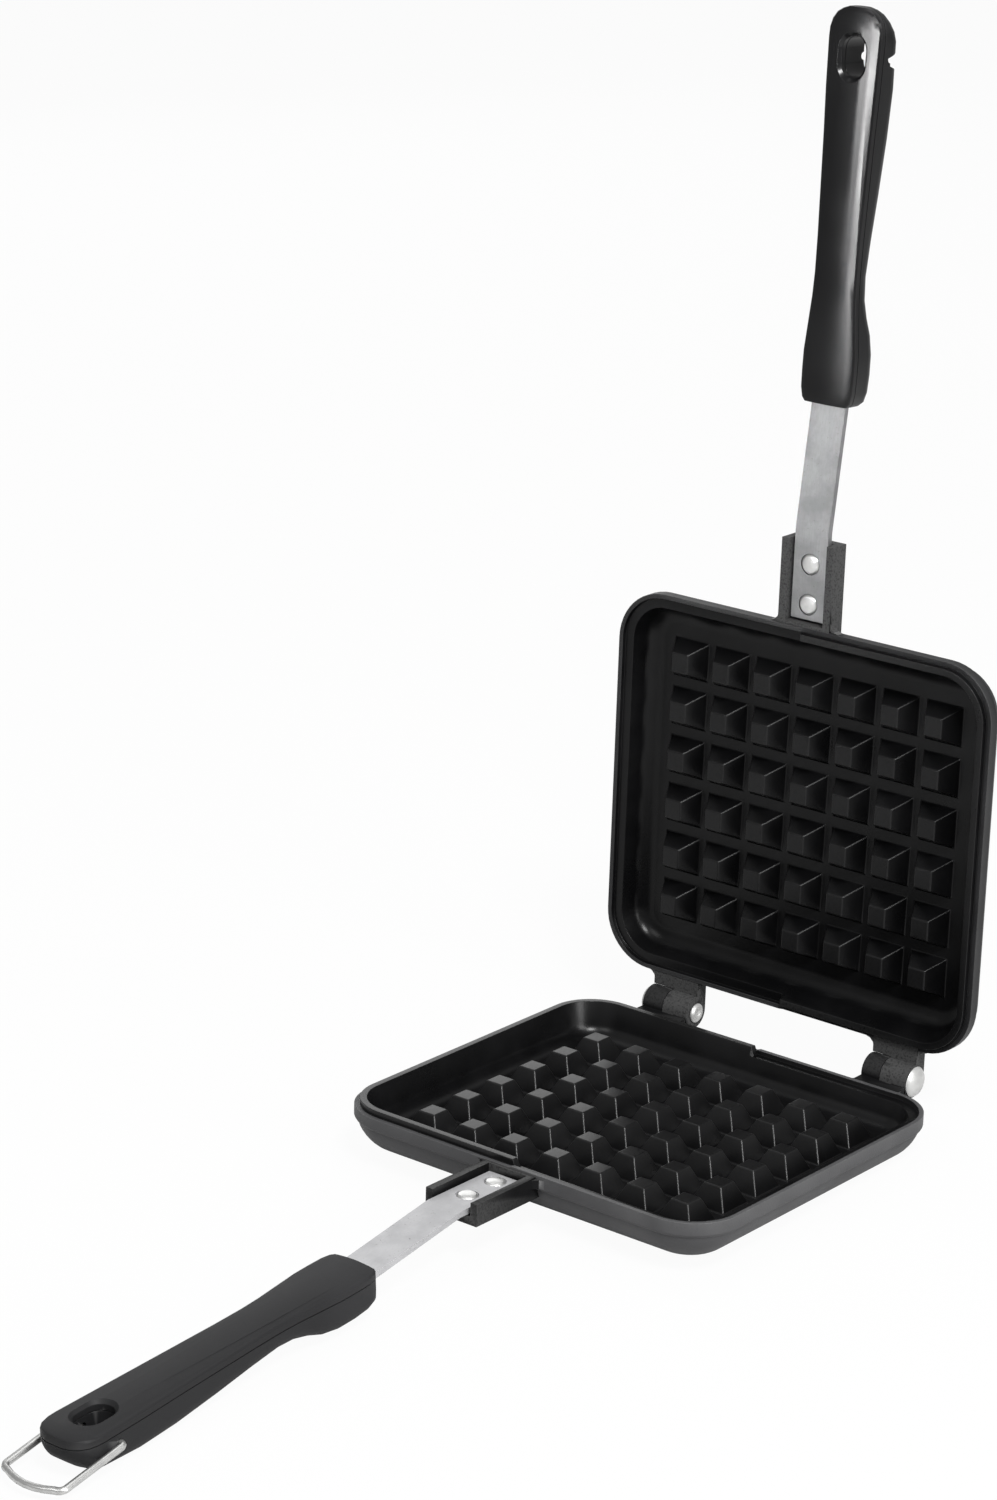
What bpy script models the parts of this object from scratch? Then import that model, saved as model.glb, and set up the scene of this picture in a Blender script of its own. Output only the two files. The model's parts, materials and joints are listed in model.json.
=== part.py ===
# Stovetop waffle iron: two cast pans hinged at the back, each with a riveted
# steel strap and a two-piece plastic handle, and a wire bail that latches them.
# Metres, +Z up. The iron stands open on a table, on the back edge of the lower
# pan's base and on the back of the lower handle. The origin is on the table,
# under the middle of the whole iron.
#
# Both halves are cast alike. A half is described in its own frame: the hinge
# axis is the X axis, the parting plane is z = 0, the handle points along -Y and
# the cooking face looks along +Z. The upper half is that frame turned over, and
# its knuckles fill the places that the lower half's leave in each station.

import math

import bmesh
import bpy
from mathutils import Matrix, Vector

# Driving sizes: pan
pan_width = 0.1448
pan_length = 0.1306
pan_depth = 0.0148
hinge_setback = 0.0103
corner_radius = 0.0178
base_inset = 0.0096
wall_top_inset = 0.0012
wall_top_drop = 0.0056
wall_bulge_power = 1.5

# Driving sizes: rim, with a raised lip on one half and a recess on the other
rim_drop = 0.0004
rim_edge = 0.0004
rim_band_foot = 0.0044
rim_band_edge = 0.0007
ledge_drop = 0.0009
ledge_width = 0.0018
lip_width = 0.0022
lip_height = 0.0011
lip_edge = 0.0002
recess_drop = 0.0015
seat_width = 0.0009

# Driving sizes: inside of the pan
floor_depth = 0.0104
inner_wall_lean = 0.0011
inner_wall_drop = 0.0054
cove_height = 0.0020
cove_width = 0.0012
cove_foot_height = 0.0004
cove_foot_width = 0.0034
floor_edge_width = 0.0022

# Driving sizes: pins of the waffle pattern
pin_columns = 7
pin_rows = 6
pin_border = 0.0146
pin_valley = 0.0012
pin_taper = 0.0045
pin_height = 0.0071

# Driving sizes: hinge. A station's ends and the split between its two knuckles
# are measured in from the pan's side
left_station_start = 0.0207
right_station_start = 0.0188
left_station_end = 0.0386
right_station_end = 0.0356
station_split = 0.0287
knuckle_radius = 0.0055
web_top_drop = 0.0006
web_seat_inset = 0.0013
web_shoulder_inset = 0.0032
web_foot_inset = 0.0046
stop_pad_start = 0.0005
stop_pad_end = 0.0032
stop_pad_depth = 0.0030
rivet_radius = 0.0025
rivet_head_radius = 0.0051
rivet_head_height = 0.0022
rivet_tail_radius = 0.0033
rivet_tail_height = 0.0012
rivet_dimple_radius = 0.0014
rivet_dimple_depth = 0.0005

# Driving sizes: bracket that holds the strap
bracket_length = 0.0281
bracket_half_width = 0.0099
bracket_wall = 0.0025
bracket_top_drop = 0.0011
bracket_depth = 0.0083
bracket_seat_inset = 0.0012
bracket_foot_inset = 0.0045
pocket_gap = 0.0010
root_fillet = 0.0033

# Driving sizes: strap and its rivets, measured from the pan's front edge
strap_gap = 0.0021
strap_bend_reach = 0.0035
strap_drop = 0.0032
strap_width = 0.0127
strap_thickness = 0.0020
tang_width = 0.0090
tang_shoulder = 0.0040
tang_taper = 0.0015
strap_rivet_first = 0.0071
strap_rivet_pitch = 0.0133
strap_rivet_radius = 0.0020
strap_rivet_head_radius = 0.0033
strap_rivet_head_height = 0.0011
strap_rivet_sink = 0.0006
strap_rivet_tail_radius = 0.0030
strap_rivet_tail_height = 0.0009

# Driving sizes: handle. Its features near the tip are measured from the tip
handle_gap = 0.0440
handle_length = 0.1240
handle_width = 0.0196
handle_depth = 0.0150
cover_thickness = 0.0024
cover_edge = 0.0006
cover_crown = 0.0007
shell_edge_radius = 0.0056
guard_edge_radius = 0.0034
guard_edge_length = 0.0150
tip_length = 0.0100
tang_tip_gap = 0.0370
tang_pin_radius = 0.0019
tang_pin_first = 0.0200
tang_pin_last = 0.0540
tang_pin_cover_depth = 0.0010
tang_pin_shell_depth = 0.0040
hang_slot_width = 0.0088
hang_slot_length = 0.0132
hang_slot_flare = 0.0005
hang_slot_wall = 0.0012
hang_slot_setback = 0.0154
latch_notch_setback = 0.0160
latch_notch_depth = 0.0092
latch_seat_depth = 0.0024
latch_notch_mouth = 0.0068
latch_notch_lip = 0.0006

# The straps are bent by hand, so the two handles sit a little differently:
# depth of the inner face at the pan end, and its slope
lower_handle_drop = 0.0074
lower_handle_slope = math.radians(4.45)
upper_handle_drop = 0.0058
upper_handle_slope = math.radians(2.6)

# Driving sizes: wire bail
bail_wire_radius = 0.0011
bail_beyond_tip = 0.0095
bail_bow = 0.0022
bail_corner = 0.0022
bail_pivot_depth = 0.0056
bail_pivot_setback = 0.0155
bail_stub_inset = 0.0008
bail_hang = math.radians(7)

# Motion at rest
lid_opening = math.radians(90)

# Clearances and overruns
gap = 0.0003
pivot_gap = 0.0001
overrun = 0.0020
overlap = 0.0010
pin_sink = 0.0005

# Facets
corner_segments = 6
round_segments = 24
wire_bend_segments = 4

# Shares of the handle's length, width and depth, from the pan end to the tip
handle_place_shares = (0.0, 0.010, 0.035, 0.08, 0.13, 0.18, 0.225, 0.27, 0.33, 0.42, 0.54, 0.68, 0.80)
handle_width_shares = (0.82, 0.92, 0.985, 1.0, 0.995, 0.94, 0.89, 0.84, 0.81, 0.82, 0.86, 0.91, 0.97)
handle_depth_shares = (0.66, 0.75, 0.81, 0.87, 0.90, 0.85, 0.72, 0.64, 0.63, 0.70, 0.80, 0.89, 0.90)
tip_place_shares = (0.0, 0.30, 0.58, 0.80, 0.93, 1.0)
tip_depth_shares = (0.83, 0.75, 0.64, 0.52, 0.42, 0.33)
tip_power_share = 2.7
cover_face_shares = (-1.0, -0.7, -0.35, 0.0, 0.35, 0.7, 1.0)

# Places that follow from the sizes
pan_front = hinge_setback + pan_length
pan_middle = -(hinge_setback + pan_length / 2)
bracket_end = pan_front + bracket_length
strap_start = pan_front + strap_gap
strap_bend = bracket_end + strap_bend_reach
handle_start = bracket_end + handle_gap
tang_length = handle_length - tang_tip_gap
hang_slot_place = handle_length - hang_slot_setback
latch_notch_place = handle_length - latch_notch_setback
bail_pivot_place = handle_length - bail_pivot_setback
bail_reach = bail_pivot_setback + bail_beyond_tip
pin_pitch_x = (pan_width - 2 * pin_border) / pin_columns
pin_pitch_y = (pan_length - 2 * pin_border) / pin_rows


# Materials
def finish(name, color, roughness, metallic):
    material = bpy.data.materials.new(name)
    material.use_nodes = True
    shader = material.node_tree.nodes["Principled BSDF"]
    shader.inputs["Base Color"].default_value = (*color, 1.0)
    shader.inputs["Roughness"].default_value = roughness
    shader.inputs["Metallic"].default_value = metallic
    return material


# Mesh building
def add_object(name, points, faces, material, parent, smooth=False):
    mesh = bpy.data.meshes.new(name)
    shape = bmesh.new()
    vertices = [shape.verts.new(point) for point in points]
    for face in faces:
        shape.faces.new([vertices[index] for index in face])
    bmesh.ops.recalc_face_normals(shape, faces=shape.faces)
    shape.to_mesh(mesh)
    shape.free()
    mesh.materials.append(material)
    if smooth:
        mesh.shade_smooth()
        mesh.set_sharp_from_angle(angle=math.radians(35))
    thing = bpy.data.objects.new(name, mesh)
    bpy.context.scene.collection.objects.link(thing)
    thing.parent = parent
    return thing


def add_frame(name, parent, location, rotation):
    frame = bpy.data.objects.new(name, None)
    bpy.context.scene.collection.objects.link(frame)
    frame.parent = parent
    frame.location = location
    frame.rotation_euler = rotation
    return frame


def lofted(name, rings, material, parent, smooth=False):
    """A closed solid through rings of as many points each, capped at both ends."""
    count = len(rings[0])
    points = [point for ring in rings for point in ring]
    faces = [tuple(range(count)), tuple(range(len(points) - count, len(points)))]
    for row in range(len(rings) - 1):
        for column in range(count):
            after = (column + 1) % count
            low, high = row * count, (row + 1) * count
            faces.append((low + column, low + after, high + after, high + column))
    return add_object(name, points, faces, material, parent, smooth)


def prism(name, outline, axis, low, high, material, parent):
    """An outline in the plane across an axis, extruded along that axis."""
    def place(u, v, w):
        return {"X": (w, u, v), "Y": (u, w, v), "Z": (u, v, w)}[axis]
    rings = [[place(u, v, w) for u, v in outline] for w in (low, high)]
    return lofted(name, rings, material, parent)


def turned(name, profile, start, direction, material, parent):
    """A round piece along the X axis: pairs of distance along it and radius."""
    rings = []
    for along, radius in profile:
        ring = []
        for step in range(round_segments):
            angle = math.tau * step / round_segments
            ring.append((start[0] + direction * along,
                         start[1] + radius * math.cos(angle),
                         start[2] + radius * math.sin(angle)))
        rings.append(ring)
    return lofted(name, rings, material, parent, smooth=True)


def upright_pin(name, profile, place, material, parent):
    """A round piece along the Z axis: pairs of height and radius."""
    rings = []
    for height, radius in profile:
        ring = []
        for step in range(round_segments):
            angle = math.tau * step / round_segments
            ring.append((place[0] + radius * math.cos(angle), place[1] + radius * math.sin(angle), height))
        rings.append(ring)
    return lofted(name, rings, material, parent, smooth=True)


def combine(target, tool, operation):
    tool.hide_render = True
    tool.display_type = "WIRE"
    change = target.modifiers.new(tool.name, "BOOLEAN")
    change.operation = operation
    change.solver = "EXACT"
    change.object = tool


def arc(centre, radius, first, last, segments):
    """Points of an arc, its ends included; angles in degrees."""
    points = []
    for step in range(segments + 1):
        angle = math.radians(first + (last - first) * step / segments)
        points.append((centre[0] + radius * math.cos(angle), centre[1] + radius * math.sin(angle)))
    return points


def smooth_value(places, values, place):
    """A smooth curve through pairs of place and value."""
    for index in range(len(places) - 1):
        if place <= places[index + 1] or index == len(places) - 2:
            share = (place - places[index]) / (places[index + 1] - places[index])
            before = values[max(index - 1, 0)]
            after = values[min(index + 2, len(values) - 1)]
            first, last = values[index], values[index + 1]
            return first + share / 2 * (last - before + share * (
                2 * before - 5 * first + 4 * last - after + share * (3 * (first - last) + after - before)))
    return values[-1]


# Pan: a tray with a flared wall, made of rounded rectangles from the base,
# up the outside, over the rim and down to the inside floor
def rounded_ring(inset, height):
    half_x = pan_width / 2 - inset
    half_y = pan_length / 2 - inset
    radius = max(corner_radius - inset, rim_edge)
    ring = []
    for corner, (side_x, side_y) in enumerate(((1, 1), (-1, 1), (-1, -1), (1, -1))):
        centre = (side_x * (half_x - radius), pan_middle + side_y * (half_y - radius))
        ring += [(x, y, height) for x, y in arc(centre, radius, 90 * corner, 90 * corner + 90, corner_segments)]
    return ring


def pan_profile():
    """Pairs of inset from the pan's outline and height, from the base round to
    the inside floor, as they are on the half that has the lip."""
    outside = []
    for step in range(corner_segments + 1):
        angle = math.radians(90 - 90 * step / corner_segments)
        reach = math.cos(angle) ** (2 / wall_bulge_power) if step else 0
        fall = math.sin(angle) ** (2 / wall_bulge_power) if step < corner_segments else 0
        outside.append((base_inset - (base_inset - wall_top_inset) * reach,
                        -wall_top_drop - (pan_depth - wall_top_drop) * fall))
    lip_end = ledge_width + lip_width
    seat_end = lip_end + seat_width
    wall_end = seat_end + inner_wall_lean
    cove_end = wall_end + cove_width
    foot_end = cove_end + cove_foot_width
    return outside + [
        (rim_edge, -rim_band_foot - rim_band_edge),
        (0, -rim_band_foot),
        (0, -rim_drop - rim_edge),
        (rim_edge, -rim_drop),
        (ledge_width, -rim_drop),
        (ledge_width, lip_height - lip_edge),
        (ledge_width + lip_edge, lip_height),
        (lip_end - lip_edge, lip_height),
        (lip_end, lip_height - lip_edge),
        (seat_end, -recess_drop),
        (wall_end, -inner_wall_drop),
        (cove_end, -floor_depth + cove_height),
        (foot_end, -floor_depth + cove_foot_height),
        (foot_end + floor_edge_width, -floor_depth),
    ]


def waffle_pins(name, material, parent):
    """All the pins as one mesh of separate pyramids, sunk a little in the floor."""
    slope = pin_taper / pin_height
    points = []
    faces = []
    for row in range(pin_rows):
        for column in range(pin_columns):
            middle_x = (column - (pin_columns - 1) / 2) * pin_pitch_x
            middle_y = pan_middle + (row - (pin_rows - 1) / 2) * pin_pitch_y
            first = len(points)
            for height in (-pin_sink, pin_height):
                half_x = (pin_pitch_x - pin_valley) / 2 - slope * height
                half_y = (pin_pitch_y - pin_valley) / 2 - slope * height
                for side_x, side_y in ((-1, -1), (1, -1), (1, 1), (-1, 1)):
                    points.append((middle_x + side_x * half_x, middle_y + side_y * half_y, -floor_depth + height))
            faces.append(tuple(first + index for index in (3, 2, 1, 0)))
            faces.append(tuple(first + index for index in (4, 5, 6, 7)))
            for side in range(4):
                after = (side + 1) % 4
                faces.append((first + side, first + after, first + 4 + after, first + 4 + side))
    return add_object(name, points, faces, material, parent)


def half_block(name, side, low, high, material, parent):
    """Everything on one side of the pan's middle line, and half a gap past it."""
    near = -side * gap / 2
    far = side * pan_width
    outline = [(near, pan_middle - pan_length), (far, pan_middle - pan_length),
               (far, pan_middle + pan_length), (near, pan_middle + pan_length)]
    return prism(name, outline, "Z", low, high, material, parent)


def root_fillets(name, edge_x, root_y, direction_y, top, material, parent):
    """Two small fillets where a lug leaves the rim: one on each side of it."""
    tools = []
    for number, (side, x) in enumerate(edge_x):
        start_y = root_y - direction_y * web_seat_inset
        end_y = root_y + direction_y * root_fillet
        inner_x = x - side * overlap
        outline = [(inner_x, start_y), (x + side * root_fillet, start_y)]
        outline += [(x + side * root_fillet * (1 - math.sin(angle)),
                     root_y + direction_y * root_fillet * (1 - math.cos(angle)))
                    for angle in (math.radians(90 * step / 3) for step in range(4))]
        outline += [(inner_x, end_y)]
        tools.append(prism(f"{name}_{number}", outline, "Z", -rim_band_foot, top, material, parent))
    return tools


def hinge_lugs(number, station, material, parent, casting):
    """One hinge station: a web from the rim, and a knuckle on a part of its width.
    The rest of the web stops short of the mating knuckle, and its end is the
    shoulder that lands on that knuckle's stop pad when the iron is fully open."""
    low, split, high = station
    seat = -hinge_setback - web_seat_inset
    shoulder = -hinge_setback - web_shoulder_inset
    foot = -hinge_setback - web_foot_inset
    root = [(foot, -knuckle_radius), (shoulder, -rim_band_foot), (seat, -web_top_drop)]
    touch = math.degrees(math.asin(web_top_drop / knuckle_radius))
    barrel = arc((0, 0), knuckle_radius, 180 + touch, -90, round_segments)
    lug = prism(f"hinge_lug_{number}", root + barrel, "X", low, high, material, parent)
    reach = knuckle_radius + gap
    room = [(-reach, -reach), (-reach, reach), (reach, reach), (reach, -reach)]
    combine(lug, prism(f"hinge_room_{number}", room, "X", split - gap / 2, high + overrun, material, parent),
            "DIFFERENCE")
    combine(casting, lug, "UNION")
    pad_outline = [(stop_pad_start, knuckle_radius - stop_pad_depth), (stop_pad_start, knuckle_radius),
                   (stop_pad_end, knuckle_radius), (stop_pad_end, knuckle_radius - stop_pad_depth)]
    pad = prism(f"stop_pad_{number}", pad_outline, "X", (low + split) / 2, split - gap, material, parent)
    combine(casting, pad, "UNION")
    for piece in root_fillets(f"hinge_root_{number}", ((-1, low), (1, high)), -hinge_setback, 1,
                              -web_top_drop - rim_edge, material, parent):
        combine(casting, piece, "UNION")
    bore_radius = rivet_radius + pivot_gap
    bore = turned(f"hinge_bore_{number}", ((-overrun, bore_radius), (high - low + overrun, bore_radius)),
                  (low, 0, 0), 1, material, parent)
    combine(casting, bore, "DIFFERENCE")


def strap_rivet_place(number):
    return 0, -pan_front - strap_rivet_first - number * strap_rivet_pitch


def strap_bracket(material, parent, casting):
    """The channel that the strap lies in: two walls and a floor, open at its end."""
    front = -pan_front
    side_outline = [(front + bracket_seat_inset, -bracket_top_drop),
                    (front + bracket_foot_inset / 2, -rim_band_foot),
                    (front + bracket_foot_inset, -bracket_depth),
                    (-bracket_end, -bracket_depth),
                    (-bracket_end, -bracket_top_drop)]
    block = prism("bracket_block", side_outline, "X", -bracket_half_width, bracket_half_width, material, parent)
    combine(casting, block, "UNION")
    sides = ((-1, -bracket_half_width), (1, bracket_half_width))
    for piece in root_fillets("bracket_root", sides, front, -1, -bracket_top_drop - rim_edge, material, parent):
        combine(casting, piece, "UNION")
    inner = bracket_half_width - bracket_wall
    bottom = -strap_drop - strap_thickness - gap
    pocket_outline = [(-bracket_end - overrun, bottom), (-bracket_end - overrun, lip_height),
                      (-strap_start + pocket_gap, lip_height), (-strap_start + pocket_gap, bottom)]
    pocket = prism("bracket_pocket", pocket_outline, "X", -inner, inner, material, parent)
    combine(casting, pocket, "DIFFERENCE")
    for number in range(2):
        place = strap_rivet_place(number)
        bore_radius = strap_rivet_radius + pivot_gap
        bore = upright_pin(f"bracket_bore_{number}",
                           ((-bracket_depth - overrun, bore_radius), (bottom + overlap, bore_radius)),
                           place, material, parent)
        combine(casting, bore, "DIFFERENCE")


def cast_pan(name, stations, material, parent):
    rings = [rounded_ring(inset, height) for inset, height in pan_profile()]
    casting = lofted(name, rings, material, parent)
    combine(casting, waffle_pins("pins", material, parent), "UNION")
    top = lip_height + overrun
    recess = lofted("lip_recess", [rounded_ring(ledge_width - gap, height) for height in (-recess_drop - gap, top)],
                    material, parent)
    combine(recess, half_block("recess_half", 1, -pan_depth, pan_depth, material, parent), "INTERSECT")
    combine(casting, recess, "DIFFERENCE")
    ledge = half_block("ledge_room", -1, -ledge_drop, top, material, parent)
    kept = lofted("lip_kept", [rounded_ring(ledge_width, height) for height in (-pan_depth, pan_depth)],
                  material, parent)
    combine(ledge, kept, "DIFFERENCE")
    combine(casting, ledge, "DIFFERENCE")
    for number, station in enumerate(stations):
        hinge_lugs(number, station, material, parent, casting)
    strap_bracket(material, parent, casting)
    return casting


# Hinge rivets: a domed head outside each station and a peened tail inside
def hinge_rivet(name, head_x, tail_x, material, parent):
    length = abs(tail_x - head_x)
    crown = rivet_head_height + pivot_gap
    seat = length + pivot_gap
    profile = (
        (-crown, rivet_head_radius / 4),
        (-crown + rivet_head_height / 8, rivet_head_radius / 2),
        (-crown + rivet_head_height / 2, rivet_head_radius * math.cos(math.radians(30))),
        (-pivot_gap - rivet_head_height / 8, rivet_head_radius),
        (-pivot_gap, rivet_head_radius),
        (-pivot_gap, rivet_radius),
        (seat, rivet_radius),
        (seat, rivet_tail_radius),
        (seat + rivet_tail_height / 2, rivet_tail_radius),
        (seat + rivet_tail_height, rivet_radius),
        (seat + rivet_tail_height, rivet_dimple_radius),
        (seat + rivet_tail_height - rivet_dimple_depth, rivet_dimple_radius / 2),
    )
    return turned(name, profile, (head_x, 0, 0), math.copysign(1, tail_x - head_x), material, parent)


# Strap: flat in the bracket, bent once to clear the pan and once in the handle
def strap_path(drop, slope):
    """Distance, depth of the strap's inner face and half width, from end to end."""
    face = drop + (cover_thickness + 2 * gap) / math.cos(slope)
    bend = handle_start + tang_shoulder
    path = [(strap_start, strap_drop, strap_width / 2), (strap_bend, strap_drop, strap_width / 2)]
    for along, half_width in ((0, strap_width / 2), (tang_taper, tang_width / 2), (tang_length, tang_width / 2)):
        place = bend + along * math.cos(slope)
        path.append((place, face + (place - handle_start) * math.tan(slope), half_width))
    return path


def strap(name, drop, slope, material, parent):
    path = strap_path(drop, slope)
    steps = [Vector((last[0] - first[0], last[1] - first[1])).normalized() for first, last in zip(path, path[1:])]
    before = [steps[0]] + steps
    after = steps + [steps[-1]]
    rings = []
    for (place, depth, half_width), arriving, leaving in zip(path, before, after):
        along = (arriving + leaving).normalized()
        thick = strap_thickness / along.dot(leaving)
        inner = (-place, -depth)
        outer = (-place + along.y * thick, -depth - along.x * thick)
        rings.append([(-half_width, *inner), (half_width, *inner), (half_width, *outer), (-half_width, *outer)])
    bar = lofted(name, rings, material, parent)
    for number in range(2):
        place = strap_rivet_place(number)
        seat = -strap_drop - strap_rivet_sink
        seat_radius = strap_rivet_head_radius + gap
        bore_radius = strap_rivet_radius + pivot_gap
        hole = upright_pin(f"{name}_hole_{number}",
                           ((-strap_drop - strap_thickness - overrun, bore_radius), (seat, bore_radius),
                            (seat, seat_radius), (-strap_drop + overrun, seat_radius)),
                           place, material, parent)
        combine(bar, hole, "DIFFERENCE")
    return bar


def strap_rivet(name, number, material, parent):
    """A low domed head in the strap's countersink and a peened tail behind."""
    seat = -strap_drop - strap_rivet_sink + pivot_gap
    back = -bracket_depth - pivot_gap
    crown = seat + strap_rivet_head_height
    profile = (
        (back - strap_rivet_tail_height, strap_rivet_radius),
        (back - strap_rivet_tail_height / 2, strap_rivet_tail_radius),
        (back, strap_rivet_tail_radius),
        (back, strap_rivet_radius),
        (seat, strap_rivet_radius),
        (seat, strap_rivet_head_radius),
        (seat + strap_rivet_head_height / 3, strap_rivet_head_radius),
        (crown - strap_rivet_head_height / 5, strap_rivet_head_radius * math.cos(math.radians(35))),
        (crown, strap_rivet_head_radius / 3),
    )
    return upright_pin(name, profile, strap_rivet_place(number), material, parent)


# Handle, in its own frame: the pan end of its inner face is at the origin, it
# points along -Y and the inner face looks along +Z
def handle_stations():
    """Distance along the handle, half width and depth at each station."""
    body = handle_length - tip_length
    stations = []
    for place, width, depth in zip(handle_place_shares, handle_width_shares, handle_depth_shares):
        stations.append((place * handle_length, width * handle_width / 2, depth * handle_depth))
    for place, depth in zip(tip_place_shares, tip_depth_shares):
        narrowing = (1 - min(place, 0.985) ** tip_power_share) ** (1 / tip_power_share)
        stations.append((body + place * tip_length, narrowing * handle_width / 2, depth * handle_depth))
    return stations


def shell_section(along, half_width, depth, top):
    """The back's edges are squarer at the finger guard than along the grip."""
    squareness = max(0, 1 - along / guard_edge_length)
    radius = shell_edge_radius + (guard_edge_radius - shell_edge_radius) * squareness
    radius = min(radius, half_width * 0.9, (depth - top) * 0.9)
    right = arc((half_width - radius, -depth + radius), radius, 0, -90, corner_segments)
    left = arc((radius - half_width, -depth + radius), radius, -90, -180, corner_segments)
    return [(-half_width, -top), (half_width, -top)] + right + left


def handle_shell(name, has_bail, material, parent):
    top = cover_thickness + gap
    rings = [[(x, -along, z) for x, z in shell_section(along, half_width, depth, top)]
             for along, half_width, depth in handle_stations()]
    shell = lofted(name, rings, material, parent, smooth=True)
    channel_half = tang_width / 2 + gap
    channel_end = tang_shoulder + tang_length + pocket_gap
    channel_bottom = top + strap_thickness + 3 * gap
    channel_outline = [(overrun, -channel_bottom), (overrun, overrun), (-channel_end, overrun),
                       (-channel_end, -channel_bottom)]
    channel = prism(f"{name}_channel", channel_outline, "X", -channel_half, channel_half, material, parent)
    mouth_half = strap_width / 2 + gap
    mouth_end = tang_shoulder + tang_taper + gap
    mouth_outline = [(overrun, -channel_bottom), (overrun, overrun), (-mouth_end, overrun),
                     (-mouth_end, -channel_bottom)]
    mouth = prism(f"{name}_mouth", mouth_outline, "X", -mouth_half, mouth_half, material, parent)
    combine(shell, channel, "DIFFERENCE")
    combine(shell, mouth, "DIFFERENCE")
    combine(shell, hang_slot(name, material, parent), "DIFFERENCE")
    if has_bail:
        combine(shell, pivot_bore(name, material, parent), "DIFFERENCE")
    else:
        outer = handle_width / 2 + overrun
        inner = hang_slot_width / 2 + hang_slot_wall
        for part, (low, high, depth) in {"left": (-outer, -inner, latch_notch_depth),
                                         "seat": (-outer, outer, latch_seat_depth),
                                         "right": (inner, outer, latch_notch_depth)}.items():
            combine(shell, latch_notch(f"{name}_{part}", low, high, depth, material, parent), "DIFFERENCE")
    for number in range(2):
        combine(shell, tang_pin_bore(name, number, material, parent), "DIFFERENCE")
    return shell


def handle_cover(name, material, parent):
    rings = []
    for along, half_width, _ in handle_stations():
        inner = half_width - min(cover_edge, half_width / 2)
        crown = cover_crown * min(1, half_width * 2 / handle_width)
        face = [(share * inner, -along, crown * (1 - share ** 2)) for share in cover_face_shares]
        rings.append([(-half_width, -along, -cover_thickness), (-half_width, -along, -cover_edge)]
                     + face + [(half_width, -along, -cover_edge), (half_width, -along, -cover_thickness)])
    cover = lofted(name, rings, material, parent)
    combine(cover, hang_slot(name, material, parent), "DIFFERENCE")
    combine(cover, slot_flare(name, material, parent), "DIFFERENCE")
    for number in range(2):
        combine(cover, tang_pin_bore(name, number, material, parent), "DIFFERENCE")
    return cover


def slot_outline(growth):
    radius = hang_slot_width / 2 + growth
    reach = (hang_slot_length - hang_slot_width) / 2
    return (arc((0, reach - hang_slot_place), radius, 0, 180, round_segments // 2)
            + arc((0, -reach - hang_slot_place), radius, 180, 360, round_segments // 2))


def hang_slot(name, material, parent):
    return prism(f"{name}_slot", slot_outline(0), "Z", -handle_depth - overrun, overrun, material, parent)


def slot_flare(name, material, parent):
    """The slot's mouth in the cover, widened by a cone with sides at 45 degrees."""
    levels = ((-hang_slot_flare, -2 * hang_slot_flare), (hang_slot_flare + overrun, overrun))
    rings = [[(x, y, height) for x, y in slot_outline(growth)] for growth, height in levels]
    return lofted(f"{name}_slot_flare", rings, material, parent)


def latch_notch(name, low, high, notch_depth, material, parent):
    """A notch in the handle's back, where the other half's bail snaps in. It is
    deep in the sides and shallow in between, and leans out to a wide mouth."""
    depth = smooth_value(handle_place_shares, handle_depth_shares, latch_notch_place / handle_length) * handle_depth
    radius = bail_wire_radius + pivot_gap
    half_mouth = radius + (latch_notch_mouth / 2 - radius) * notch_depth / latch_notch_depth
    outline = arc((-latch_notch_place, -depth + notch_depth - radius), radius, 0, 180, round_segments // 2)
    outline += [(-latch_notch_place - half_mouth, -depth + latch_notch_lip),
                (-latch_notch_place - half_mouth, -handle_depth - overrun),
                (-latch_notch_place + half_mouth, -handle_depth - overrun),
                (-latch_notch_place + half_mouth, -depth + latch_notch_lip)]
    return prism(f"{name}_notch", outline, "X", low, high, material, parent)


def pivot_bore(name, material, parent):
    width = handle_width / 2 + overrun
    radius = bail_wire_radius + pivot_gap
    return turned(f"{name}_pivot_bore", ((0, radius), (2 * width, radius)),
                  (-width, -bail_pivot_place, -bail_pivot_depth), 1, material, parent)


def tang_pin_reach():
    top = -cover_thickness + tang_pin_cover_depth
    bottom = -cover_thickness - strap_thickness - 4 * gap - tang_pin_shell_depth
    return bottom, top


def tang_pin_place(number):
    return 0, -(tang_pin_first, handle_length - tang_pin_last)[number]


def tang_pin_bore(name, number, material, parent):
    bottom, top = tang_pin_reach()
    radius = tang_pin_radius + pivot_gap
    place = tang_pin_place(number)
    return upright_pin(f"{name}_pin_bore_{number}", ((bottom - gap, radius), (top + gap, radius)),
                       place, material, parent)


def tang_pin(name, number, material, parent):
    bottom, top = tang_pin_reach()
    place = tang_pin_place(number)
    return upright_pin(name, ((bottom, tang_pin_radius), (top, tang_pin_radius)), place, material, parent)


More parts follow.
